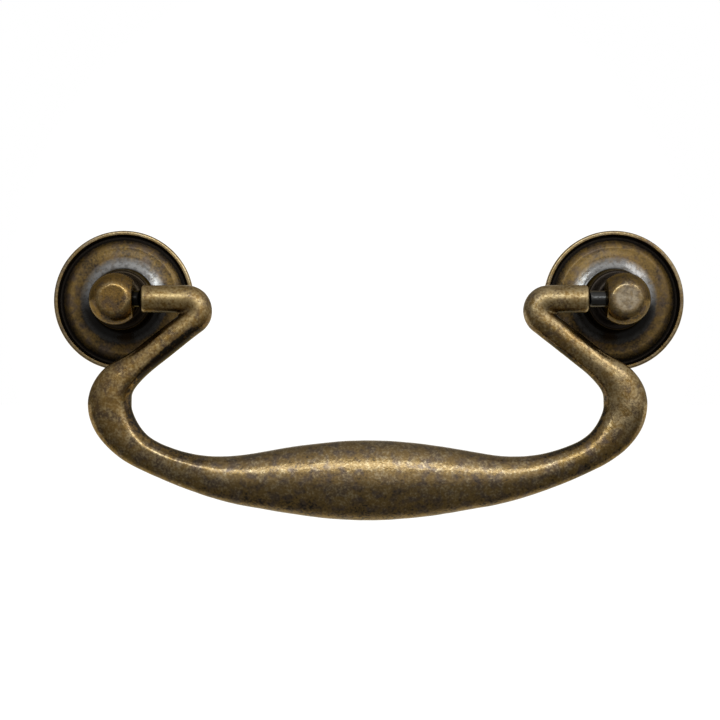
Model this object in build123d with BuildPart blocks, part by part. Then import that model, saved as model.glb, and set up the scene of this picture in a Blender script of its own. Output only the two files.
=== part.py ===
from build123d import *
import os
from math import cos, pi, radians, sin, sqrt, tan

# Swan-neck drop pull for a drawer: a cast bail that hangs between two posts on round rosettes.
# Sizes are in millimetres. The rosettes' backs lie on the plane Y=0 and the pull's front is
# towards -Y, with +Z up. The origin is midway between the two fixing holes.

# Where the pull is fixed
hole_spacing = 96.0
drawer_thickness = 18.0

# Rosette
rosette_dia = 27.4
rim_width = 0.8
rim_height = 2.2
rim_rounding = 0.35
groove_width = 1.7
groove_slope = 0.7
groove_floor = 0.8
groove_rounding = 0.25
shoulder_height = 1.7
shoulder_land = 0.8
shoulder_rounding = 0.5
back_rounding = 0.2
boss_dia = 12.8
boss_height = 3.0

# Post
pivot_height = 17.0
spigot_dia = 6.8
spigot_clearance = 0.1
spigot_recess = 0.3
foot_dia = 12.6
collar_dia = 11.6
collar_height = 4.6
collar_land = 0.7
collar_rounding = 0.3
neck_dia = 6.8
neck_rounding = 0.8
ball_dia = 9.9
facet_dia = 5.5
facet_rounding = 0.7
flat_depth = 1.45

# Screw from inside the drawer
screw_dia = 4.0
thread_core_dia = 3.2
thread_clearance = 0.05
screw_reach = 7.0
screw_tip = 0.5
tap_run_out = 2.0
drill_angle = 118
head_dia = 8.0
head_height = 2.8
head_edge_height = 1.2
recess_width = 1.1
recess_span = 4.4
recess_depth = 1.7
recess_taper = 8

# Bail: its centreline, from the middle of the grip outwards and up to the pivot
grip_drop = 34.2
belly_radius = 44.8
belly_turn = 27.3
corner_radius = 13.7
corner_turn = 36.5
side_radius = 7.1
diagonal_slope = 38.2
knee_radius = 2.25
knee_setback = 13.9

# Bail: its thickness across the front and from front to back
grip_width = 15.2
grip_depth = 10.6
neck_width = 6.2
neck_depth = 5.8
neck_setback = 1.7
side_width = 8.4
side_depth = 6.0
arm_dia = 5.24
side_taper = 5.0
section_count = 61

# Bail: the ends that turn in the posts. The arms are cut to slightly different lengths, and the
# bail hangs a little to the left within the play that they leave
rest_shift = 0.4
left_gap = 1.4
right_gap = 3.3
end_chamfer = 0.25
pin_dia = 3.2
pin_engagement = 3.8
pin_clearance = 0.05
pin_chamfer = 0.3
pin_bottom_room = 0.3

# Places worked out from the sizes above
fixing_x = hole_spacing / 2
ball_radius = ball_dia / 2
neck_top = pivot_height - sqrt(ball_radius**2 - (neck_dia / 2) ** 2)
facet_front = pivot_height + sqrt(ball_radius**2 - (facet_dia / 2) ** 2)
flat_offset = ball_radius - flat_depth
collar_front = boss_height + collar_height
bore_dia = spigot_dia + 2 * spigot_clearance
tap_dia = thread_core_dia + 2 * thread_clearance
tap_bottom = screw_reach + tap_run_out
drill_point = tap_dia / 2 / tan(radians(drill_angle / 2))
head_back = -drawer_thickness - head_height
pin_hole_dia = pin_dia + 2 * pin_clearance
pin_hole_depth = pin_engagement + max(left_gap, right_gap) + pin_bottom_room
flat_x = fixing_x - flat_offset
knee_x = fixing_x - knee_setback
side_turn = 180 - diagonal_slope - belly_turn - corner_turn
knee_turn = 180 - diagonal_slope
front_plane = Plane.XZ.offset(pivot_height)


def arc_step(radius, start_heading, turn):
    """Run across and rise of an arc that turns upwards, for a start heading and a turn in degrees."""
    a, b = radians(start_heading), radians(start_heading + turn)
    return radius * (sin(b) - sin(a)), radius * (cos(a) - cos(b))


# The straight of the grip takes up what the arcs leave across, and the diagonals what they leave in height
steps = [
    arc_step(belly_radius, 0, belly_turn),
    arc_step(corner_radius, belly_turn, corner_turn),
    arc_step(side_radius, belly_turn + corner_turn, side_turn),
]
knee_run = knee_radius * sin(radians(diagonal_slope))
knee_rise = knee_radius * (1 + cos(radians(diagonal_slope)))
diagonal_rise = grip_drop - sum(rise for run, rise in steps) - knee_rise
diagonal_length = diagonal_rise / sin(radians(diagonal_slope))
diagonal_run = diagonal_length * cos(radians(diagonal_slope))
grip_straight = knee_x - knee_run + diagonal_run - sum(run for run, rise in steps)

with BuildLine(front_plane) as half_centreline:
    grip_line = Line((0, -grip_drop), (grip_straight, -grip_drop))
    belly = JernArc(grip_line @ 1, grip_line % 1, belly_radius, belly_turn)
    corner = JernArc(belly @ 1, belly % 1, corner_radius, corner_turn)
    side = JernArc(corner @ 1, corner % 1, side_radius, side_turn)
    diagonal = Line(side @ 1, side @ 1 + diagonal_length * (side % 1))

# Stations along the centreline: distance from the grip's middle, width across the front, depth
belly_end = grip_straight + belly.length
side_start = belly_end + corner.length
outermost = side_start + side_radius * radians(90 - belly_turn - corner_turn)
taper_end = side_start + side.length + side_taper
centreline = half_centreline.wire()
stations = [
    (0, grip_width, grip_depth),
    (belly_end - neck_setback, neck_width, neck_depth),
    (outermost, side_width, side_depth),
    (taper_end, arm_dia, arm_dia),
    (centreline.length, arm_dia, arm_dia),
]


def thickness(distance):
    """Width and depth of the bail at a distance along its centreline, eased from station to station."""
    for (start, w0, d0), (end, w1, d1) in zip(stations, stations[1:]):
        if distance <= end:
            break
    ease = (1 - cos(pi * (distance - start) / (end - start))) / 2
    return w0 + (w1 - w0) * ease, d0 + (d1 - d0) * ease


knee_centre = front_plane.from_local_coords((knee_x, -knee_radius))


def section_plane(distance):
    """Plane square to the centreline, to the right of the middle or, for a negative distance, to the left."""
    share = abs(distance) / centreline.length
    place, heading = centreline @ share, centreline % share
    if distance < 0:
        place, heading = Vector(-place.X, place.Y, place.Z), Vector(heading.X, heading.Y, -heading.Z)
    return Plane(origin=place, x_dir=(0, 1, 0), z_dir=heading)


def bail_end(arm_end, pin_length):
    """The right end of the bail: the tight knee, the pivot arm and its pin."""
    with BuildPart() as end:
        with BuildSketch(section_plane(centreline.length)):
            Circle(arm_dia / 2)
            with Locations((0, -knee_radius - arm_dia / 2)):
                Rectangle(2 * arm_dia, arm_dia, mode=Mode.SUBTRACT)
        revolve(axis=Axis(knee_centre, (0, 1, 0)), revolution_arc=knee_turn)
        with BuildSketch(Plane.YZ.offset(knee_x)):
            with Locations((-pivot_height, 0)):
                Circle(arm_dia / 2)
        extrude(amount=arm_end - knee_x)
        chamfer(end.faces().sort_by(Axis.X)[-1].edges(), end_chamfer)
        with BuildSketch(Plane.YZ.offset(arm_end)):
            with Locations((-pivot_height, 0)):
                Circle(pin_dia / 2)
        extrude(amount=pin_length)
        chamfer(end.faces().sort_by(Axis.X)[-1].edges(), pin_chamfer)
    return end.part


right_end = bail_end(flat_x - right_gap + rest_shift, right_gap + pin_engagement)
left_end = bail_end(flat_x - left_gap - rest_shift, left_gap + pin_engagement)

# The bail is one casting: grip, side bends and diagonals lofted through ovals, with the two ends
with BuildPart() as centred_bail:
    for i in range(section_count):
        distance = centreline.length * (2 * i / (section_count - 1) - 1)
        width, depth = thickness(abs(distance))
        with BuildSketch(section_plane(distance)):
            Ellipse(depth / 2, width / 2)
    loft()
    add(right_end)
    mirror(left_end, about=Plane.YZ)

# It hangs to the left of the posts' middle
with BuildPart() as bail:
    with Locations((-rest_shift, 0, 0)):
        add(centred_bail.part)

# Turned and round pieces are drawn on a plane whose first axis is the radius from the fixing hole
# and whose second axis is the height in front of the rosette's back
turning_plane = Plane(origin=(fixing_x, 0, 0), x_dir=(1, 0, 0), z_dir=(0, 0, -1))
turning_axis = Axis((fixing_x, 0, 0), (0, 1, 0))


def nearest_corner(sketch, radius, height):
    """The corner of a turned outline that lies at a radius and a height."""
    return sketch.vertices().sort_by_distance((radius, height))[0]


# Rosette: rim, groove and a trumpet-shaped dome that steepens to the boss under the post
rim_inside = rosette_dia / 2 - rim_width
shoulder = rim_inside - groove_width
with BuildPart() as right_rosette:
    with BuildSketch(turning_plane):
        with BuildLine():
            rim_and_groove = FilletPolyline(
                (bore_dia / 2, 0),
                (rosette_dia / 2, 0),
                (rosette_dia / 2, rim_height),
                (rim_inside, rim_height),
                (rim_inside, groove_floor),
                (shoulder + groove_slope, groove_floor),
                (shoulder, shoulder_height),
                (shoulder - shoulder_land, shoulder_height),
                radius=[
                    back_rounding,
                    rim_rounding,
                    rim_rounding,
                    groove_rounding,
                    groove_rounding,
                    shoulder_rounding,
                ],
            )
            dome = TangentArc(rim_and_groove @ 1, (boss_dia / 2, boss_height), tangent=(-1, 0))
            Polyline(dome @ 1, (bore_dia / 2, boss_height), rim_and_groove @ 0)
        make_face()
    revolve(axis=turning_axis)

# Post: spigot through the rosette, flared collar, neck and ball head, tapped from behind
with BuildPart() as right_post:
    with BuildSketch(turning_plane) as post_outline:
        with BuildLine():
            stem = Polyline(
                (0, tap_bottom + drill_point),
                (tap_dia / 2, tap_bottom),
                (tap_dia / 2, spigot_recess),
                (spigot_dia / 2, spigot_recess),
                (spigot_dia / 2, boss_height),
                (foot_dia / 2, boss_height),
            )
            land = Line((collar_dia / 2, collar_front - collar_land), (collar_dia / 2, collar_front))
            TangentArc(land @ 0, stem @ 1, tangent=(0, -1))
            neck = Polyline(land @ 1, (neck_dia / 2, collar_front), (neck_dia / 2, neck_top))
            ball = ThreePointArc(neck @ 1, (ball_radius, pivot_height), (facet_dia / 2, facet_front))
            Polyline(ball @ 1, (0, facet_front), stem @ 0)
        make_face()
        fillet(nearest_corner(post_outline, collar_dia / 2, collar_front), collar_rounding)
        fillet(nearest_corner(post_outline, neck_dia / 2, collar_front), neck_rounding)
        fillet(nearest_corner(post_outline, facet_dia / 2, facet_front), facet_rounding)
    revolve(axis=turning_axis)
    with BuildSketch(Plane.YZ.offset(flat_x)):
        with Locations((-pivot_height, 0)):
            Rectangle(ball_dia, ball_dia)
    extrude(amount=-ball_dia, mode=Mode.SUBTRACT)
    with Locations(Plane(origin=(flat_x, -pivot_height, 0), z_dir=(-1, 0, 0))):
        Hole(pin_hole_dia / 2, depth=pin_hole_depth)

# Screw: its thread is drawn at the core diameter inside the post, at full diameter in the drawer front
with BuildPart() as right_screw:
    with BuildSketch(turning_plane):
        with BuildLine():
            shank = Polyline(
                (0, screw_reach),
                (thread_core_dia / 2 - screw_tip, screw_reach),
                (thread_core_dia / 2, screw_reach - screw_tip),
                (thread_core_dia / 2, spigot_recess),
                (screw_dia / 2, spigot_recess),
                (screw_dia / 2, -drawer_thickness),
                (head_dia / 2, -drawer_thickness),
                (head_dia / 2, -drawer_thickness - head_edge_height),
            )
            crown = TangentArc((0, head_back), shank @ 1, tangent=(1, 0))
            Line(crown @ 0, shank @ 0)
        make_face()
    revolve(axis=turning_axis)
    with BuildSketch(Plane.XZ.offset(head_back)):
        with Locations((fixing_x, 0)):
            Rectangle(recess_span, recess_width)
            Rectangle(recess_width, recess_span)
    extrude(amount=recess_depth, taper=recess_taper, mode=Mode.SUBTRACT)

# The left pieces mirror the right ones
with BuildPart() as left_rosette:
    mirror(right_rosette.part, about=Plane.YZ)
with BuildPart() as left_post:
    mirror(right_post.part, about=Plane.YZ)
with BuildPart() as left_screw:
    mirror(right_screw.part, about=Plane.YZ)

bail.part.label = "bail"
right_rosette.part.label = "right_rosette"
left_rosette.part.label = "left_rosette"
right_post.part.label = "right_post"
left_post.part.label = "left_post"
right_screw.part.label = "right_screw"
left_screw.part.label = "left_screw"

os.makedirs("parts", exist_ok=True)
for piece in (bail, right_rosette, left_rosette, right_post, left_post, right_screw, left_screw):
    export_step(piece.part, f"parts/{piece.part.label}.step")
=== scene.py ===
# %% [markdown]
# # A swan-neck drop pull in relieved antique brass
# The pull hangs on a drawer: one cast bail swings between two turned posts, and each post stands
# on a round rosette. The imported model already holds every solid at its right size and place, so
# this lesson only dresses it: it softens the castings, adds the small forms that the solids leave
# out, mixes the finishes, and sets up the floor, the light and the camera.

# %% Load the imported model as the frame
import math
import bpy
import bmesh
import numpy as np
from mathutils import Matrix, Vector


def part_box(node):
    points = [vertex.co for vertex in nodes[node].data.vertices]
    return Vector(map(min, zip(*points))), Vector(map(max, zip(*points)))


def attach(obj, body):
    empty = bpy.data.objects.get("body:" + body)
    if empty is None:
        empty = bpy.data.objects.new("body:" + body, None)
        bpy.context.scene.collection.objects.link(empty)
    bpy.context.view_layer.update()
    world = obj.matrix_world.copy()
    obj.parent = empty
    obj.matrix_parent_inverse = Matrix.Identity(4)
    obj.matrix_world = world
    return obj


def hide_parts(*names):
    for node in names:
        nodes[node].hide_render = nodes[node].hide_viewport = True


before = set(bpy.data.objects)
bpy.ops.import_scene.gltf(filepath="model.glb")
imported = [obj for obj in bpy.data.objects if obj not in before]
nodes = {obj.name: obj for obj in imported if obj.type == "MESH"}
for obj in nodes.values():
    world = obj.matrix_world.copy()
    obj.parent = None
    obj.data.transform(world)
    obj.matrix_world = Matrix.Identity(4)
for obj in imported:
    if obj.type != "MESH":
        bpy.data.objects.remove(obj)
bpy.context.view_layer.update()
MM = 0.001
print("nodes:", sorted(nodes))

# %% [markdown]
# ## Where things are
# The fixing holes are 96 mm apart. Everything round turns about one of these two axes, so the
# finishes of the rosettes and posts can be mixed by the distance from the nearer axis.

# %% The two fixing axes
FIXING_X = 48 * MM
left_box, right_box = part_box("left_rosette"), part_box("right_rosette")
for low, high in (left_box, right_box):
    centre, width = (low[0] + high[0]) / 2, high[0] - low[0]
    print("rosette centre x in mm:", round(centre / MM, 3), "across:", round(width / MM, 2))

# %% [markdown]
# ## The casting's skin
# A bail like this is cast, then tumbled, so nothing on it has a machined corner. The solid has a
# sharp crease where each arm folds over its diagonal. A voxel remesh melts such creases into one
# skin, a smooth modifier takes off the small steps that it leaves, and a faint displacement gives
# the slow unevenness of a casting. All three are modifiers, so the solid below stays as it is.

# %% Soften the bail
INWARDS_MOSTLY = 0.8
bail = nodes["bail"]


def with_skin(piece):
    """The piece as its modifiers leave it."""
    return piece.evaluated_get(bpy.context.evaluated_depsgraph_get())


def soft_skin(piece, voxel, smoothing, unevenness, wave):
    """Melts a piece's creases, then lets its surface wander, mostly inwards, by `unevenness`."""
    remesh = piece.modifiers.new("melted skin", "REMESH")
    remesh.mode = "VOXEL"
    remesh.voxel_size = voxel
    remesh.use_smooth_shade = True
    relax = piece.modifiers.new("tumbled", "SMOOTH")
    relax.factor = 0.5
    relax.iterations = smoothing
    wander = bpy.data.textures.new(piece.name + "_unevenness", "CLOUDS")
    wander.noise_scale = wave
    wander.noise_depth = 2
    uneven = piece.modifiers.new("casting unevenness", "DISPLACE")
    uneven.texture = wander
    uneven.texture_coords = "LOCAL"
    uneven.strength = unevenness
    uneven.mid_level = INWARDS_MOSTLY
    print(piece.name, "faces with its skin:", len(with_skin(piece).data.polygons))


soft_skin(bail, voxel=0.26 * MM, smoothing=8, unevenness=0.12 * MM, wave=5 * MM)

# %% [markdown]
# ## Baking a skin
# Modifiers are enough for an even softness, but a local change of form is easier on plain points.
# The helper below bakes a piece's skin into a mesh of its own, hands its points and normals to a
# function that says how far each point moves, and puts the new piece in the old one's place.
# Points that end up closer than a hair's breadth are welded.

# %% A helper that bakes and reshapes
WELD = 0.03 * MM


def fade(values, low, high):
    """Smooth steps from 0 at low to 1 at high."""
    share = np.clip((values - low) / (high - low), 0, 1)
    return share * share * (3 - 2 * share)


def reshape(name, body, move):
    """Bakes a node's skin, adds move(points, normals) to its points, and lets it stand for the node."""
    baked = bpy.data.meshes.new_from_object(with_skin(nodes[name]))
    count = len(baked.vertices)
    points, normals = np.empty(count * 3), np.empty(count * 3)
    baked.vertices.foreach_get("co", points)
    baked.vertices.foreach_get("normal", normals)
    points, normals = points.reshape(-1, 3), normals.reshape(-1, 3)
    step = move(points, normals)
    baked.vertices.foreach_set("co", (points + step).ravel())
    shaped = bmesh.new()
    shaped.from_mesh(baked)
    bmesh.ops.remove_doubles(shaped, verts=shaped.verts, dist=WELD)
    shaped.to_mesh(baked)
    shaped.free()
    baked.shade_smooth()
    piece = bpy.data.objects.new(name + "_skin", baked)
    bpy.context.collection.objects.link(piece)
    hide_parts(name)
    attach(piece, body)
    longest = float(np.linalg.norm(step, axis=1).max())
    print(piece.name, "points:", count, "moved by up to", round(longest / MM, 3), "mm")
    return piece


# %% [markdown]
# ## A crisper edge on the left bend
# The two bends were finished by hand and differ. On the left one the front was filed a little
# flatter, which leaves a soft ridge along its inner side, and the ridge catches a line of light
# as thin as a thread. Each point whose normal leans about 24 degrees from the front towards the
# finger opening is raised by up to a quarter of a millimetre. Reading the normal rather than the
# place lets the ridge follow the bend by itself.

# %% Raise the ridge
BEND_MIDDLE_X, BEND_MIDDLE_Z = 31 * MM, -19 * MM
RIDGE_LEAN, RIDGE_SPREAD = math.radians(24), math.radians(14)
RIDGE_HEIGHT = 0.25 * MM


def raise_ridge(points, normals):
    """Steps along the normals that form the ridge of the left bend."""
    x, z = points[:, 0], points[:, 2]
    to_opening = np.array([-BEND_MIDDLE_X, BEND_MIDDLE_Z]) - points[:, [0, 2]]
    to_opening /= np.linalg.norm(to_opening, axis=1)[:, None]
    lean = np.arctan2((normals[:, [0, 2]] * to_opening).sum(1), -normals[:, 1])
    along_bend = fade(x, -27 * MM, -33 * MM) * (0.5 + 0.5 * fade(z, -9 * MM, -15 * MM))
    along_bend *= fade(z, -2 * MM, -7 * MM)
    raised = RIDGE_HEIGHT * along_bend * np.exp(-((lean - RIDGE_LEAN) / RIDGE_SPREAD) ** 2)
    return normals * raised[:, None]


cast_bail = reshape("bail", "swinging_bail", raise_ridge)

# %% [markdown]
# ## Turned pieces
# The rosettes and posts are turned or die cast, then tumbled with the bail, so their edges are
# soft as well, only less so. The same skin with a smaller voxel rounds the edge of each ball
# head's flat and keeps the rings of the rosette crisp.

# %% Soften the turned pieces
for side in ("left", "right"):
    soft_skin(nodes[side + "_post"], voxel=0.13 * MM, smoothing=16, unevenness=0.03 * MM, wave=3 * MM)
    soft_skin(nodes[side + "_rosette"], voxel=0.14 * MM, smoothing=8, unevenness=0.03 * MM, wave=4 * MM)

# %% [markdown]
# ## The rings of the rosettes
# The tumbling drum rounds a rosette more than a voxel skin does. Close round the post the dome
# flares up steeply and shows the lamp as one pale arc. Further out its shoulder runs down into
# the groove in a long soft slope, and the rim rises out of the groove at a slant. All of this is
# a height over the distance from the axis, so each front point is moved to the height that a
# short list of distances gives. The floor of the groove and the tops keep their own heights.

# %% Shape the rings
FLARE_START, FLARE_PEAK, FLARE_END = 5.9 * MM, 6.3 * MM, 7.8 * MM
FLARE_BACK = 0.18 * MM
SLOPE_START, GROOVE_START, GROOVE_END = 10.4 * MM, 12.2 * MM, 12.5 * MM
RIM_START, RIM_TOP = 12.95 * MM, 13.25 * MM
SLOPE_CURVE = 1.4
RING_BAND = 0.1 * MM
BACK_DEPTH = 0.3 * MM


def shape_rings(points, normals):
    """Steps along Y that give the dome its flare, the shoulder its slope and the rim its slant."""
    radius = np.hypot(np.abs(points[:, 0]) - FIXING_X, points[:, 2])
    front = (normals[:, 1] < 0.3) & (points[:, 1] < -BACK_DEPTH)
    facing = front & (normals[:, 1] < -0.7)
    height = {at: points[facing & (abs(radius - at) < RING_BAND), 1].mean()
              for at in (SLOPE_START, GROOVE_START, RIM_TOP)}
    print("heights in mm:", {round(at / MM, 2): round(float(-y) / MM, 2) for at, y in height.items()})
    step = np.zeros_like(points)
    flare = fade(radius, FLARE_START, FLARE_PEAK) * fade(radius, FLARE_END, FLARE_PEAK)
    step[:, 1] = FLARE_BACK * flare * facing
    slope = np.clip((radius - SLOPE_START) / (GROOVE_START - SLOPE_START), 0, 1) ** SLOPE_CURVE
    down = 0.5 * fade(radius, SLOPE_START, GROOVE_START) + 0.5 * slope
    up = fade(radius, GROOVE_END, RIM_START)
    floor_y = height[GROOVE_START]
    target = height[SLOPE_START] + (floor_y - height[SLOPE_START]) * down + (height[RIM_TOP] - floor_y) * up
    ringed = front & (radius > SLOPE_START) & (radius < RIM_TOP)
    step[ringed, 1] = (target - points[:, 1])[ringed]
    return step


dome_skins = [reshape(side + "_rosette", "fixed", shape_rings) for side in ("left", "right")]

# %% [markdown]
# ## Machine screws
# Each post is clamped from inside the drawer by an M4 screw. The solid has a plain shank; the
# real one has a rolled thread. The head and its cross recess are kept from the solid, and the
# shank is swapped for a helical thread: rings of points whose radius follows a ridge that climbs
# one pitch a turn. The ridge runs out before the head, where the shank stays plain.

# %% The thread's measures
THREAD_PITCH = 0.7 * MM
THREAD_OUTSIDE, THREAD_ROOT = 2.0 * MM, 1.6 * MM
THREAD_START, HEAD_SEAT = -0.25 * MM, 18 * MM
PLAIN_NECK = 1.2 * MM
RUN_IN, RUN_OUT = 0.4 * MM, 0.6 * MM
SEAT_RADIUS = 2.3 * MM
TOUCHING = 0.1 * MM
POINTS_AROUND, ROWS_A_TURN = 36, 14


def ridge(turns):
    """Height of a rolled thread, from 0 at the root to 1 at the crest, as it climbs."""
    share = turns % 1
    rise = 1 - abs(2 * share - 1)
    return min(1, max(0, (rise - 0.16) / 0.68))


print("turns of thread:", round((HEAD_SEAT - PLAIN_NECK - THREAD_START) / THREAD_PITCH, 1))

# %% Cut the threads


def thread_rings(shaped, centre_x):
    """Rings of new points up the shank, each lifted where the ridge passes."""
    rows = int((HEAD_SEAT - THREAD_START) / THREAD_PITCH * ROWS_A_TURN)
    rings = []
    for row in range(rows + 1):
        y = THREAD_START + (HEAD_SEAT - THREAD_START) * row / rows
        cut = min(1, max(0, (HEAD_SEAT - PLAIN_NECK - y) / RUN_OUT), (y - THREAD_START) / RUN_IN)
        ring = []
        for point in range(POINTS_AROUND):
            turn = point / POINTS_AROUND
            radius = THREAD_ROOT + (THREAD_OUTSIDE - THREAD_ROOT) * (cut * ridge(y / THREAD_PITCH - turn))
            x, z = centre_x + radius * math.cos(math.tau * turn), radius * math.sin(math.tau * turn)
            ring.append(shaped.verts.new((x, y, z)))
        rings.append(ring)
    return rings


def cut_screw(name, centre_x):
    """A copy of the screw's solid with its shank swapped for a thread."""
    mesh = nodes[name].data.copy()
    shaped = bmesh.new()
    shaped.from_mesh(mesh)
    shank = [v for v in shaped.verts
             if THREAD_START + TOUCHING < v.co.y < HEAD_SEAT - TOUCHING or
             abs(v.co.y - HEAD_SEAT) < TOUCHING and math.hypot(v.co.x - centre_x, v.co.z) < SEAT_RADIUS]
    bmesh.ops.delete(shaped, geom=shank, context="VERTS")
    rings = thread_rings(shaped, centre_x)
    for lower, upper in zip(rings, rings[1:]):
        for point in range(POINTS_AROUND):
            after = (point + 1) % POINTS_AROUND
            shaped.faces.new((lower[point], lower[after], upper[after], upper[point]))
    shaped.faces.new(rings[0][::-1])
    bmesh.ops.recalc_face_normals(shaped, faces=shaped.faces)
    shaped.to_mesh(mesh)
    shaped.free()
    mesh.shade_smooth()
    mesh.set_sharp_from_angle(angle=math.radians(32))
    screw = bpy.data.objects.new(name + "_threaded", mesh)
    bpy.context.collection.objects.link(screw)
    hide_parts(name)
    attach(screw, "fixed")
    print(screw.name, "faces:", len(mesh.polygons))
    return screw


screws = [cut_screw("left_screw", -FIXING_X), cut_screw("right_screw", FIXING_X)]

# %% [markdown]
# ## A small kit for node trees
# Every finish is a node tree, and a few helpers keep the trees readable. Most take the outputs
# that they work on and make their node in the same tree, so a mask can be written like a sum. The
# first ones make a node, feed its sockets, and do arithmetic.

# %% Helpers that make, feed and reckon


def node_in(tree, kind, **settings):
    """A new shader node; settings are its own properties."""
    node = tree.nodes.new("ShaderNode" + kind)
    for key, value in settings.items():
        setattr(node, key, value)
    return node


def feed(socket, value):
    """Links a socket to an output, or sets it to a plain value."""
    if isinstance(value, bpy.types.NodeSocket):
        socket.id_data.links.new(value, socket)
    else:
        socket.default_value = value


def fill(node, values):
    """Feeds a node's sockets by their names."""
    for name, value in values.items():
        feed(node.inputs[name], value)


def reckon(operation, *values):
    """A Math node's result, in the tree of those values that are outputs."""
    tree = next(value.id_data for value in values if isinstance(value, bpy.types.NodeSocket))
    node = node_in(tree, "Math", operation=operation)
    for socket, value in zip(node.inputs, values):
        feed(socket, value)
    return node.outputs[0]


def plus(first, second):
    return reckon("ADD", first, second)


def minus(first, second):
    return reckon("SUBTRACT", first, second)


def times(first, second):
    return reckon("MULTIPLY", first, second)


print("helpers ready: node_in, feed, fill, reckon, plus, minus, times")

# %% [markdown]
# ## Masks, colours and relief
# The other helpers name the steps that come back often: where a spot is, how noisy it is there,
# how closed in it lies, and how a mask becomes a colour or a relief. Most masks are a smooth span
# between two places, measured in metres on the piece itself.

# %% Helpers that mask, mix and raise


def split(vector):
    """The X, Y and Z of a vector, each an output of its own."""
    node = node_in(vector.id_data, "SeparateXYZ")
    feed(node.inputs[0], vector)
    return node.outputs["X"], node.outputs["Y"], node.outputs["Z"]


def grain(place, size, detail=3.0, roughness=0.55, distortion=0.0):
    """Noise whose features are about `size` metres across."""
    node = node_in(place.id_data, "TexNoise")
    fill(node, {"Vector": place, "Scale": 1 / size, "Detail": detail, "Roughness": roughness,
                "Distortion": distortion})
    return node.outputs["Fac"]


def span(value, low, high, to_low=0.0, to_high=1.0, smooth=True):
    """Maps a value from low..high to to_low..to_high."""
    node = node_in(value.id_data, "MapRange", interpolation_type="SMOOTHSTEP" if smooth else "LINEAR")
    fill(node, {"Value": value, "From Min": low, "From Max": high, "To Min": to_low, "To Max": to_high})
    return node.outputs["Result"]


def ramp(value, stops):
    """A ramp over a value already scaled to 0..1; stops are (place, result), and results may be negative."""
    lowest, highest = min(result for _, result in stops), max(result for _, result in stops)
    node = node_in(value.id_data, "ValToRGB")
    feed(node.inputs["Fac"], value)
    elements = node.color_ramp.elements
    while len(elements) < len(stops):
        elements.new(0.5)
    for element, (place, result) in zip(elements, stops):
        grey = (result - lowest) / (highest - lowest)
        element.position = place
        element.color = (grey, grey, grey, 1)
    return span(node.outputs["Color"], 0.0, 1.0, lowest, highest, smooth=False)


def openness(tree, reach, own_only=False):
    """1 in the open, less where a spot is closed in within `reach` metres."""
    node = node_in(tree, "AmbientOcclusion", samples=8, only_local=own_only)
    node.inputs["Distance"].default_value = reach
    return node.outputs["AO"]


def blend(share, first, second, how="MIX"):
    """Mixes two colours by a share, or multiplies the first by the second where share is 1."""
    node = node_in(share.id_data, "Mix", data_type="RGBA", blend_type=how)
    for socket, value in zip((node.inputs["Factor"], node.inputs[6], node.inputs[7]), (share, first, second)):
        feed(socket, value)
    return node.outputs[2]


def bump(height, depth, strength):
    """A normal that follows a height of `depth` metres."""
    node = node_in(height.id_data, "Bump")
    fill(node, {"Distance": depth, "Strength": strength, "Height": height})
    return node.outputs["Normal"]


class Finish:
    """A material, its tree and shader, and the place and facing that its masks read."""

    def __init__(self, name):
        self.material = bpy.data.materials.new(name)
        self.material.use_nodes = True
        self.tree = self.material.node_tree
        self.shader = self.tree.nodes["Principled BSDF"]
        coordinates = node_in(self.tree, "TexCoord")
        self.place, self.facing = coordinates.outputs["Object"], coordinates.outputs["Normal"]


print("helpers ready: split, grain, span, ramp, openness, blend, bump, Finish")

# %% [markdown]
# ## Relieved brass
# Antique brass is brass that was chemically darkened to brown-black, then rubbed back, so metal
# shows in soft mottled patches, most of it on the high places. One tree serves all three brass
# finishes. Noise of three sizes adds up to how far a spot is rubbed, and that one number takes
# the colour from black-brown over patina to bare brass. The patina itself wanders between a
# golden and a greyed brown. The same noise, as a shallow relief, breaks up the highlights, and a
# clear lacquer lays a whiter gleam over them. Left alone, metal turns white at its outline; the
# specular tint keeps the outline brown. What differs from piece to piece is where it was rubbed
# and where shade or light is painted on it, so each finish hands in its own `bias`.

# %% The relieved brass tree
BARE_BRASS = (0.365, 0.283, 0.158, 1)
GOLDEN_PATINA = (0.185, 0.114, 0.033, 1)
GREYED_PATINA = (0.102, 0.070, 0.045, 1)
DARK_PATINA = (0.019, 0.015, 0.012, 1)
CLOUD = 5 * MM
GLOSS_BARE, GLOSS_DARK = 0.18, 0.27
RELIEF_DEPTH, LACQUER_DEPTH = 0.07 * MM, 0.06 * MM


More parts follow.
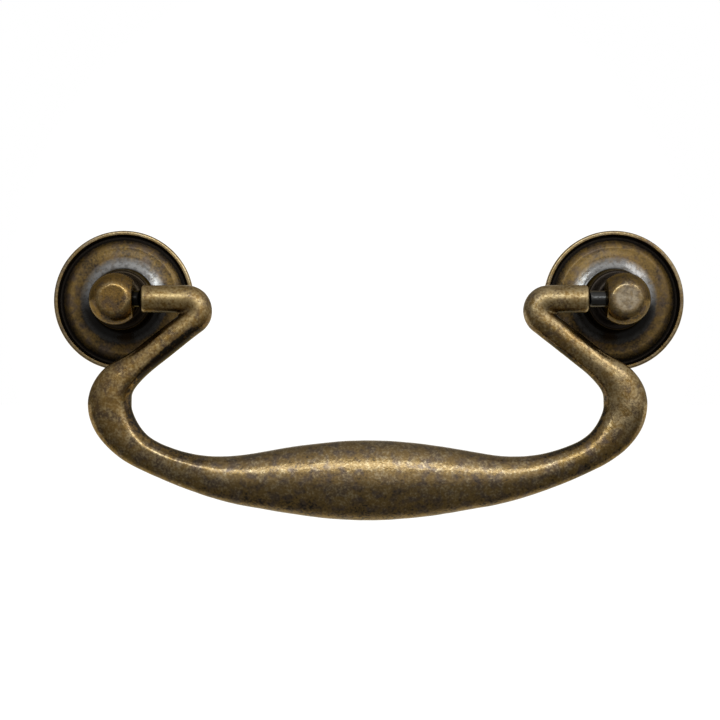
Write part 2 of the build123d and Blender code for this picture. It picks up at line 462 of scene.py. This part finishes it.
def relieve(finish, bias, lacquer, speck=0.44 * MM, patch=1.2 * MM, mottle=1.0,
            relief_strength=0.8, relief_share=1.0, edge_tint=(0.88, 0.76, 0.54, 1)):
    """Fills a finish with rubbed-back brass; bias is 0 where it was hardly rubbed or shade is painted, 1 where
    it is bare or light is painted.

    `lacquer` and `relief_share` are numbers or outputs."""
    place = finish.place
    specks = grain(place, speck, detail=1.5, roughness=0.5)
    patches = grain(place, patch, detail=3, roughness=0.5, distortion=0.4)
    clouds = grain(place, CLOUD, detail=2)
    fine = times(minus(specks, 0.5), 1.15 * mottle)
    middle = times(minus(patches, 0.5), 0.9 * mottle)
    broad = times(minus(clouds, 0.5), 0.5)
    rubbed = plus(bias, plus(fine, plus(middle, broad)))
    hue = span(grain(place, 1.6 * patch, detail=2, distortion=0.3), 0.30, 0.60)
    to_patina, to_bare = span(rubbed, 0.0, 0.5), span(rubbed, 0.48, 1.1)
    patina = blend(to_patina, DARK_PATINA, blend(hue, GREYED_PATINA, GOLDEN_PATINA))
    colour = blend(to_bare, patina, BARE_BRASS)
    gloss = span(plus(times(to_bare, 0.6), times(specks, 0.4)), 0.0, 1.0, GLOSS_DARK, GLOSS_BARE, smooth=False)
    relief = times(plus(times(patches, 0.5), times(specks, 0.5)), relief_share)
    fill(finish.shader, {
        "Base Color": colour,
        "Metallic": 1.0,
        "Specular Tint": edge_tint,
        "Roughness": gloss,
        "Normal": bump(relief, RELIEF_DEPTH, relief_strength),
        "Coat Weight": times(span(bias, -0.4, 0.1), lacquer),
        "Coat Roughness": 0.15,
        "Coat IOR": 1.5,
        "Coat Normal": bump(relief, LACQUER_DEPTH, 1.2 * relief_strength),
    })
    return colour, gloss


def repaint(finish, colour, gloss, share, new_colour, new_gloss):
    """Lays another colour and gloss over a finish where share is 1."""
    gloss = plus(times(gloss, minus(1.0, share)), times(share, new_gloss))
    fill(finish.shader, {"Base Color": blend(share, colour, new_colour), "Roughness": gloss})


for name, colour in (("bare brass", BARE_BRASS), ("golden patina", GOLDEN_PATINA),
                     ("greyed patina", GREYED_PATINA), ("dark patina", DARK_PATINA)):
    print(name, colour[:3])

# %% [markdown]
# ## The bail's places
# All masks of the bail read its own coordinates, so they swing with it. The ends of the two arms
# are measured on the solid: from there come the distance to the nearer arm's end and the distance
# from the pivot line, which tell arm, end face and pin apart.

# %% Measure the bail
PIVOT_Y = -17 * MM
PIN_LIMIT, ARM_LIMIT = 2.1 * MM, 3 * MM
ARMS_FROM_X = 30 * MM
arm_xs = [v.co.x for v in bail.data.vertices
          if math.hypot(v.co.y - PIVOT_Y, v.co.z) > PIN_LIMIT
          and abs(v.co.z) < ARM_LIMIT and abs(v.co.x) > ARMS_FROM_X]
left_arm_end, right_arm_end = min(arm_xs), max(arm_xs)
print("arms end at x in mm:", round(left_arm_end / MM, 2), round(right_arm_end / MM, 2))

bail_finish = Finish("bail_relieved_brass")
x, y, z = split(bail_finish.place)
facing_up = split(bail_finish.facing)[2]
outwards = reckon("ABSOLUTE", x)
end_gap = reckon("MINIMUM", minus(right_arm_end, x), minus(x, left_arm_end))
depth = minus(y, PIVOT_Y)
from_pivot = reckon("SQRT", plus(times(depth, depth), times(z, z)))

# %% [markdown]
# ## Where the bail is dark: patina and painted shade
# Cloth doesn't reach the flanks that face the finger opening, nor the crease where each arm folds
# over its diagonal, so patina stays there, and both are darkened further as painted shade. A
# flank is where the normal points at the middle of its bend, which a dot product tells; on the
# left diagonal the painted shade reaches further round. An ambient-occlusion node, which
# measures how closed in a spot is by the bail itself, finds the crease. The underside is painted
# darker, as shade.

# %% Flanks, creases and underside, with painted shade
to_middle = node_in(bail_finish.tree, "CombineXYZ")
fill(to_middle, {"X": minus(times(reckon("SIGN", x), BEND_MIDDLE_X), x), "Z": minus(BEND_MIDDLE_Z, z)})
unit = node_in(bail_finish.tree, "VectorMath", operation="NORMALIZE")
feed(unit.inputs[0], to_middle.outputs[0])
inward = node_in(bail_finish.tree, "VectorMath", operation="DOT_PRODUCT")
feed(inward.inputs[0], unit.outputs[0])
feed(inward.inputs[1], bail_finish.facing)
left_diagonal = times(span(x, -29 * MM, -34 * MM),
                      times(span(z, -17 * MM, -9 * MM), span(z, -3 * MM, -6 * MM)))
leaning_in = plus(inward.outputs["Value"], times(left_diagonal, 0.6))
# Flanks: unrubbed patina, darkened further as painted shade.
flank_patina_and_shade = times(span(leaning_in, 0.62, 0.92), span(outwards, 29 * MM, 36 * MM))
# Crease: patina kept in the fold, with painted shade from ambient occlusion.
crease_patina_and_shade = span(openness(bail_finish.tree, 4 * MM, own_only=True), 0.85, 0.45)
# Painted shade: the underside made darker.
painted_underside_shade = span(facing_up, -0.1, -0.8, 0.0, 0.20)
# Patina and painted shade, taken off the bias.
patina_and_painted_shade = plus(painted_underside_shade, times(reckon("MAXIMUM", flank_patina_and_shade, crease_patina_and_shade), 0.58))
print("dark places: flanks beyond x of 29 to 36 mm, creases within 4 mm, underside")

# %% [markdown]
# ## Where the bail is worn, and where light is painted
# Hands and the tumbling drum reach the front of the bail, so it is rubbed most there. Its two
# ends are worn further, and so is the rim of each arm's end. The top of the bail, along the arms
# and knees, is painted lighter as the light from above, and the right bend as the light from the
# right. The foot of the right bend is made darker.

# %% Front, ends, knees, rims and painted light
front = span(y, -14 * MM, -19.5 * MM, 0.30, 0.56)
end_rim = times(span(end_gap, 0.8 * MM, 0.4 * MM), span(from_pivot, 3.4 * MM, 2.9 * MM, 0.0, 0.45))
worn_ends = span(outwards, 24 * MM, 34 * MM, 0.0, 0.10)
# Painted light: the top of the bail, along the arms and knees, made lighter.
painted_light_on_top = span(z, -7 * MM, -2 * MM, 0.0, 0.17)
# Painted light: the right bend made lighter, where the light falls from the right.
painted_light_right = span(x, 36 * MM, 45 * MM, 0.0, 0.12)
# Wear and painted light, added together.
wear_and_painted_light = plus(plus(end_rim, painted_light_right), plus(worn_ends, painted_light_on_top))
# The foot of the right bend, made darker.
darker_bend_foot = times(span(x, 36 * MM, 41 * MM),
                  times(span(z, -22 * MM, -26 * MM), span(z, -37 * MM, -33 * MM, 0.0, 0.22)))
# The bail's bias: wear and patina, with painted shade and light.
bail_bias = minus(plus(minus(front, patina_and_painted_shade), wear_and_painted_light), darker_bend_foot)
print("worn places: front, arm ends, ends, knees, right bend")

# %% [markdown]
# ## The bail's brass
# The lacquer is thickest along the grip, where it draws the pale core of the highlight, and thin
# on the ends and underneath. The left bend is smoother than the rest, so that its ridge shows one
# unbroken thread of light. Towards the posts the patina is warmer, and the arms are a little
# duller. The pins are smooth stubs with a dark film; the left one sits in a narrow gap and is
# painted black as its shade, and the right one is steel grey.

# %% Finish of the bail
WARM_ENDS = (1.04, 0.96, 0.76, 1)
# The left pin's colour is painted shade; the right one's is its dark film.
LEFT_PIN_SHADE, RIGHT_PIN = (0.010, 0.009, 0.008, 1), (0.036, 0.035, 0.033, 1)
pin = times(span(from_pivot, 2.2 * MM, 1.9 * MM), span(end_gap, 0.15 * MM, 0.0))
# Painted shade: the left pin, in its narrow gap.
shaded_left_pin = times(pin, reckon("LESS_THAN", x, 0.0))
lacquer = times(span(outwards, 27 * MM, 37 * MM, 0.63, 0.28), span(facing_up, -0.5, 0.1, 0.4, 1.0))
# No lacquer on the left pin, so that its painted shade stays black.
lacquer = times(lacquer, minus(1.0, shaded_left_pin))
smooth_left = span(x, -18 * MM, -30 * MM, 1.0, 0.28)
colour, gloss = relieve(bail_finish, bail_bias, lacquer, mottle=0.95, relief_share=smooth_left)
warm_sides = plus(span(x, -22 * MM, -32 * MM), span(x, 22 * MM, 32 * MM, 0.0, 0.6))
colour = blend(times(warm_sides, span(z, -34 * MM, -16 * MM)), colour, WARM_ENDS, how="MULTIPLY")
gloss = plus(gloss, span(z, -7 * MM, -3 * MM, 0.0, 0.17))
pin_film_and_shade = blend(reckon("GREATER_THAN", x, 0.0), LEFT_PIN_SHADE, RIGHT_PIN)
repaint(bail_finish, colour, gloss, pin, pin_film_and_shade, new_gloss=0.20)
print("bail finish nodes:", len(bail_finish.tree.nodes))

# %% [markdown]
# ## Where a rosette is rubbed, and where shade is painted
# On a rosette the relief follows the rings. The groove is nearly black because no cloth reaches
# it, and the thin rim outside it is the brightest edge of all. The shoulder of the dome is golden
# brown. A ramp over the distance from the axis says so. Under the head and the arm, and on the
# dome's lower side close to the post, shade is painted dark: an ambient-occlusion node finds where
# the post and the bail close a spot in. The flat back lies against the drawer and is evenly brown.

# %% Rings, painted shade and back
RING_SCALE = 14 * MM
BACK_BIAS = 0.22


def from_axis(x, z):
    """Distance from the nearer fixing axis, in metres: the same tree serves left and right."""
    across = minus(reckon("ABSOLUTE", x), FIXING_X)
    return reckon("SQRT", plus(times(across, across), times(z, z)))


rosette_finish = Finish("rosette_relieved_brass")
x, _, z = split(rosette_finish.place)
distance = from_axis(x, z)
ring_share = reckon("DIVIDE", distance, RING_SCALE)
ring_bias = ramp(ring_share, [
    (0.0, 0.0), (0.45, 0.05), (0.54, 0.20), (0.60, 0.32), (0.745, 0.34), (0.80, 0.37), (0.835, 0.30),
    (0.872, -0.4), (0.895, -0.4), (0.915, 0.30), (0.935, 0.74), (1.0, 0.78),
])
# Painted shade: where the post and the bail close a spot in, found by ambient occlusion.
shaded = span(openness(rosette_finish.tree, 25 * MM), 0.62, 0.25)
# Painted shade: the dome's lower side close to the post.
shaded_low_side = times(span(reckon("DIVIDE", z, distance), 0.35, -0.35), span(ring_share, 0.66, 0.52))
# All painted shade on a rosette, in one mask.
painted_shade = reckon("MAXIMUM", shaded, times(shaded_low_side, 0.92))
on_back = span(split(rosette_finish.facing)[1], 0.2, 0.6)
seen_bias = minus(ring_bias, times(painted_shade, 0.6))
rosette_bias = plus(seen_bias, times(on_back, minus(BACK_BIAS, seen_bias)))
print("rings up to", round(RING_SCALE / MM, 1), "mm from the axis")

# %% [markdown]
# ## The rosettes' finish
# The flare round the post keeps a smooth blue-grey film that shines where the lamp catches it.
# Where shade falls on it, and right at the post's foot, it is painted black. It is patchy and ends
# a few millimetres from the post. From there to the groove the brass is duller than on the rim.

# %% Finish of the rosettes
# The first colour is the film in painted shade, the second the film in the open.
FILM_IN_PAINTED_SHADE, FILM_OPEN = (0.006, 0.005, 0.004, 1), (0.250, 0.248, 0.242, 1)
colour, gloss = relieve(rosette_finish, rosette_bias, lacquer=0.20, patch=1.3 * MM, mottle=0.45,
                        relief_strength=0.6)
dull = ramp(ring_share, [
    (0.0, 0.0), (0.54, 0.0), (0.61, 0.25), (0.80, 0.25), (0.86, 0.32), (0.91, 0.32), (0.93, 0.0), (1.0, 0.0),
])
film = ramp(ring_share, [(0.0, 0.95), (0.52, 0.9), (0.62, 0.0), (1.0, 0.0)])
film = times(film, span(grain(rosette_finish.place, 0.8 * MM, detail=3), 0.30, 0.58, 0.45, 1.0))
# Painted shade: the film turns black where shade is painted and at the post's foot.
film_out_of_shade = times(span(ring_share, 0.44, 0.48), minus(1.0, painted_shade))
film_colour = blend(film_out_of_shade, FILM_IN_PAINTED_SHADE, FILM_OPEN)
film = times(film, minus(1.0, on_back))
repaint(rosette_finish, colour, plus(gloss, dull), film, film_colour, new_gloss=0.17)
print("rosette finish nodes:", len(rosette_finish.tree.nodes))

# %% [markdown]
# ## Where a post is rubbed, and where shade is painted
# The ball head sticks out furthest, so it is rubbed to an even brown on its front, and its
# facet's edge is the brightest line. The collar and neck behind it lie in the shade of every
# cloth and stay dark with patina. The flat that faces the arm keeps its patina and is darkened
# further as painted shade, and the head's lower side is painted darker, as shade.

# %% Heads, facet edges, flats and painted shade
HEAD_FRONT_Y = -22 * MM
FACET_SCALE = 6 * MM
post_finish = Finish("post_relieved_brass")
x, y, z = split(post_finish.place)
facing_x, _, facing_up = split(post_finish.facing)
distance = from_axis(x, z)
height = reckon("DIVIDE", y, HEAD_FRONT_Y)
post_height_bias = ramp(height, [
    (0.0, -0.4), (0.52, -0.4), (0.60, 0.0), (0.68, 0.24), (0.77, 0.28), (0.86, 0.42), (0.95, 0.46), (1.0, 0.46),
])
facet_edge = ramp(reckon("DIVIDE", distance, FACET_SCALE), [
    (0.0, 0.0), (0.36, 0.0), (0.43, 0.28), (0.50, 0.28), (0.58, 0.0), (1.0, 0.0),
])
# Patina and painted shade: the flat that faces the arm.
flat_patina_and_shade = span(times(reckon("SIGN", x), facing_x), -0.80, -0.95)
# Painted shade: the head's lower side made darker.
shaded_low_side = times(span(facing_up, -0.2, -0.75, 0.0, 0.22), span(height, 0.5, 0.7))
post_bias = minus(plus(post_height_bias, minus(facet_edge, times(flat_patina_and_shade, 0.9))), shaded_low_side)
print("posts reach", round(-HEAD_FRONT_Y / MM, 1), "mm from the drawer")

# %% [markdown]
# ## The posts' finish
# The heads are finer grained than the bail and thinly lacquered, and their darker edge tint keeps
# the floor's glow off the round sides. The two heads differ: the left one is a warmer brown,
# and the right one's facet is paler, in patches.

# %% Finish of the posts
POST_EDGE_TINT = (0.70, 0.56, 0.34, 1)
WARM_HEAD, PALE_FACET = (1.05, 0.97, 0.78, 1), (0.42, 0.35, 0.25, 1)
colour, gloss = relieve(post_finish, post_bias, lacquer=0.22, speck=0.34 * MM, patch=0.9 * MM, mottle=0.7,
                        relief_strength=0.4, edge_tint=POST_EDGE_TINT)
colour = blend(reckon("LESS_THAN", x, 0.0), colour, WARM_HEAD, how="MULTIPLY")
right_facet = times(span(distance, 2.9 * MM, 1.6 * MM),
                    times(span(height, 0.90, 0.95), reckon("GREATER_THAN", x, 0.0)))
pale_patches = span(grain(post_finish.place, 0.9 * MM, detail=3), 0.32, 0.62, 0.30, 0.85)
repaint(post_finish, colour, gloss, times(right_facet, pale_patches), PALE_FACET, new_gloss=0.26)
print("post finish nodes:", len(post_finish.tree.nodes))

# %% [markdown]
# ## Zinc-plated steel
# The screws are bright zinc over steel: nearly neutral grey with a hint of yellow and blue where
# the passivation is thicker, and slight smudges in the gloss.

# %% Finish of the screws
BLUISH_ZINC, YELLOWISH_ZINC = (0.60, 0.61, 0.62, 1), (0.66, 0.63, 0.55, 1)
screw_finish = Finish("zinc_plated_steel")
tint = grain(screw_finish.place, 1.6 * MM, detail=2)
smudge = grain(screw_finish.place, 0.25 * MM, detail=3)
fill(screw_finish.shader, {
    "Base Color": blend(span(tint, 0.35, 0.65), BLUISH_ZINC, YELLOWISH_ZINC),
    "Metallic": 1.0,
    "Roughness": span(smudge, 0.3, 0.7, 0.26, 0.42),
    "Normal": bump(smudge, 0.02 * MM, 0.5),
})
print("screw finish nodes:", len(screw_finish.tree.nodes))

# %% [markdown]
# ## Dressing the pieces
# A finish is put in every material slot of a piece, so that no face keeps the plain material of
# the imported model. Left and right share their finishes, as the real pieces come from one bath.

# %% Give each piece its finish


def dress(piece, finish):
    """Puts one finish in every material slot of a piece."""
    if not piece.data.materials:
        piece.data.materials.append(finish.material)
    for slot in piece.material_slots:
        slot.material = finish.material


pairs = [(cast_bail, bail_finish)]
pairs += [(dome, rosette_finish) for dome in dome_skins]
pairs += [(nodes[side + "_post"], post_finish) for side in ("left", "right")]
pairs += [(screw, screw_finish) for screw in screws]
for piece, finish in pairs:
    dress(piece, finish)
    print(piece.name, "wears", finish.material.name)

# %% [markdown]
# ## Floor
# A plain pale floor lies under the pull. It is an ordinary matt surface that catches the pull's
# shadow. A glow that only the camera and mirrored rays see makes it read as the white of the
# photograph without throwing more light on the metal. The metal mirrors it in two places: under
# and behind the pull, which gives the grip and the bends their pale lower edge, and faintly far in
# front, which softens the line between floor and room.

# %% The floor's sheet
FLOOR_Z = -110 * MM
FLOOR_HALF = 3.0
floor_mesh = bpy.data.meshes.new("floor")
sheet = bmesh.new()
bmesh.ops.create_grid(sheet, x_segments=8, y_segments=8, size=FLOOR_HALF)
sheet.to_mesh(floor_mesh)
sheet.free()
floor = bpy.data.objects.new("floor", floor_mesh)
floor.location = (0, 0, FLOOR_Z)
bpy.context.collection.objects.link(floor)
print("floor at", round(FLOOR_Z / MM), "mm")

# %% The floor's finish
FLOOR_GLOW = 0.91
floor_finish = Finish("pale_floor")
paper = grain(floor_finish.place, 4 * MM, detail=3)
fill(floor_finish.shader, {
    "Base Color": blend(paper, (0.30, 0.30, 0.295, 1), (0.33, 0.33, 0.325, 1)),
    "Roughness": 0.9,
    "Specular IOR Level": 0.0,
})
rays = node_in(floor_finish.tree, "LightPath").outputs
behind = split(floor_finish.place)[1]
under_and_behind = span(behind, -25 * MM, 30 * MM, 0.0, 0.80)
far_in_front = span(behind, -100 * MM, -500 * MM, 0.0, 0.20, smooth=False)
mirrored = reckon("MAXIMUM", rays["Is Glossy Ray"], rays["Is Transmission Ray"])
mirrored_part = times(mirrored, plus(under_and_behind, far_in_front))
glow = node_in(floor_finish.tree, "Emission")
feed(glow.inputs["Strength"], times(reckon("MAXIMUM", rays["Is Camera Ray"], mirrored_part), FLOOR_GLOW))
both = node_in(floor_finish.tree, "AddShader")
feed(both.inputs[0], floor_finish.shader.outputs[0])
feed(both.inputs[1], glow.outputs[0])
feed(floor_finish.tree.nodes["Material Output"].inputs["Surface"], both.outputs[0])
dress(floor, floor_finish)
print("floor finish nodes:", len(floor_finish.tree.nodes))

# %% [markdown]
# ## The room
# Metal shows the room around it, so the room is part of the finish. Seen by the camera the world
# is plain white. Seen in the metal it is the sum of a few soft lobes: the white backdrop behind
# the pull, which gives each outline its thin pale edge, the pale ceiling above the camera, a
# brighter patch at the front right, which wakes the right-hand bend and ball head, and a
# right-hand wall that is paler than the left one. Below the camera the room is dark, and that
# keeps the grip's underside deep brown.

# %% The world
DIM_ROOM = 0.04
LOBES = {
    "white backdrop": ((0, 1, 0), 1.0, 16.0),
    "backdrop's spill": ((0, 0.87, 0.50), 0.18, 3.0),
    "front right": ((0.56, -0.82, 0.08), 0.55, 4.0),
    "ceiling above the camera": ((0, -0.77, 0.64), 0.82, 3.0),
    "right wall": ((0.87, 0, 0.50), 0.50, 3.0),
    "left wall": ((-0.87, 0, 0.50), 0.20, 3.0),
}
world = bpy.data.worlds.new("studio")
bpy.context.scene.world = world
world.use_nodes = True
room = world.node_tree
room.nodes.clear()


def soft_lobe(direction, towards, strength, tightness):
    """Brightness that is greatest towards one direction and fades around it, faster when tighter."""
    agreement = node_in(room, "VectorMath", operation="DOT_PRODUCT")
    feed(agreement.inputs[0], direction)
    feed(agreement.inputs[1], Vector(towards).normalized())
    away = times(minus(agreement.outputs["Value"], 1.0), tightness)
    return times(reckon("EXPONENT", away), strength)


direction = node_in(room, "TexCoord").outputs["Generated"]
brightness = DIM_ROOM
for towards, strength, tightness in LOBES.values():
    brightness = plus(soft_lobe(direction, towards, strength, tightness), brightness)
seen_by_camera = node_in(room, "LightPath").outputs["Is Camera Ray"]
background = node_in(room, "Background")
fill(background, {"Color": (1, 1, 1, 1), "Strength": reckon("MAXIMUM", brightness, seen_by_camera)})
feed(node_in(room, "OutputWorld").inputs["Surface"], background.outputs[0])
print("lobes of the room:", ", ".join(LOBES))

# %% [markdown]
# ## Lamps
# One wide soft box of cool white hangs in front of the pull and above it, between pull and
# camera. It draws the long light line along the grip and the arms, and the pale arcs on the two
# domes, which lean towards each other because the box stands between them. A smaller box at the
# upper right gives the right-hand diagonal and ball head their second gleam.

# %% The lamps
PULL_MIDDLE = (0, -17 * MM, -10 * MM)
COOL_WHITE = (0.90, 0.97, 1.0)
WHITE = (1, 1, 1)


def soft_box(name, place, width, height, radiance, colour):
    """An area lamp at a place, turned to the pull's middle; radiance 1 looks white."""
    data = bpy.data.lights.new(name, "AREA")
    data.shape = "RECTANGLE"
    data.size, data.size_y = width, height
    data.energy = radiance * math.pi * width * height
    data.color = colour
    lamp = bpy.data.objects.new(name, data)
    lamp.location = place
    lamp.rotation_euler = (Vector(PULL_MIDDLE) - Vector(place)).to_track_quat("-Z", "Y").to_euler()
    bpy.context.collection.objects.link(lamp)
    print(name, "power in watts:", round(data.energy, 4))


soft_box("key_box", (0.000, -0.165, 0.066), 0.160, 0.048, 3.8, COOL_WHITE)
soft_box("side_box", (0.205, -0.195, 0.165), 0.12, 0.09, 1.9, WHITE)

# %% [markdown]
# ## Camera
# The photograph is taken square on, from a little below the middle of the posts, with a long
# lens. Its centre of view lies a little left and above the middle of the picture, which the
# small shift gives.

# %% The camera
camera_data = bpy.data.cameras.new("photo_camera")
camera_data.lens = 102.2
camera_data.sensor_width = 36
camera_data.shift_x = 0.0208
camera_data.shift_y = -0.0208
camera_data.clip_start = 0.01
camera = bpy.data.objects.new("photo_camera", camera_data)
camera.location = (-4.66 * MM, -402.2 * MM, -8.7 * MM)
camera.rotation_euler = (math.radians(90), 0, 0)
bpy.context.collection.objects.link(camera)
bpy.context.scene.camera = camera
bpy.context.scene.view_settings.view_transform = "Standard"
print("camera at", [round(v / MM, 1) for v in camera.location], "mm")
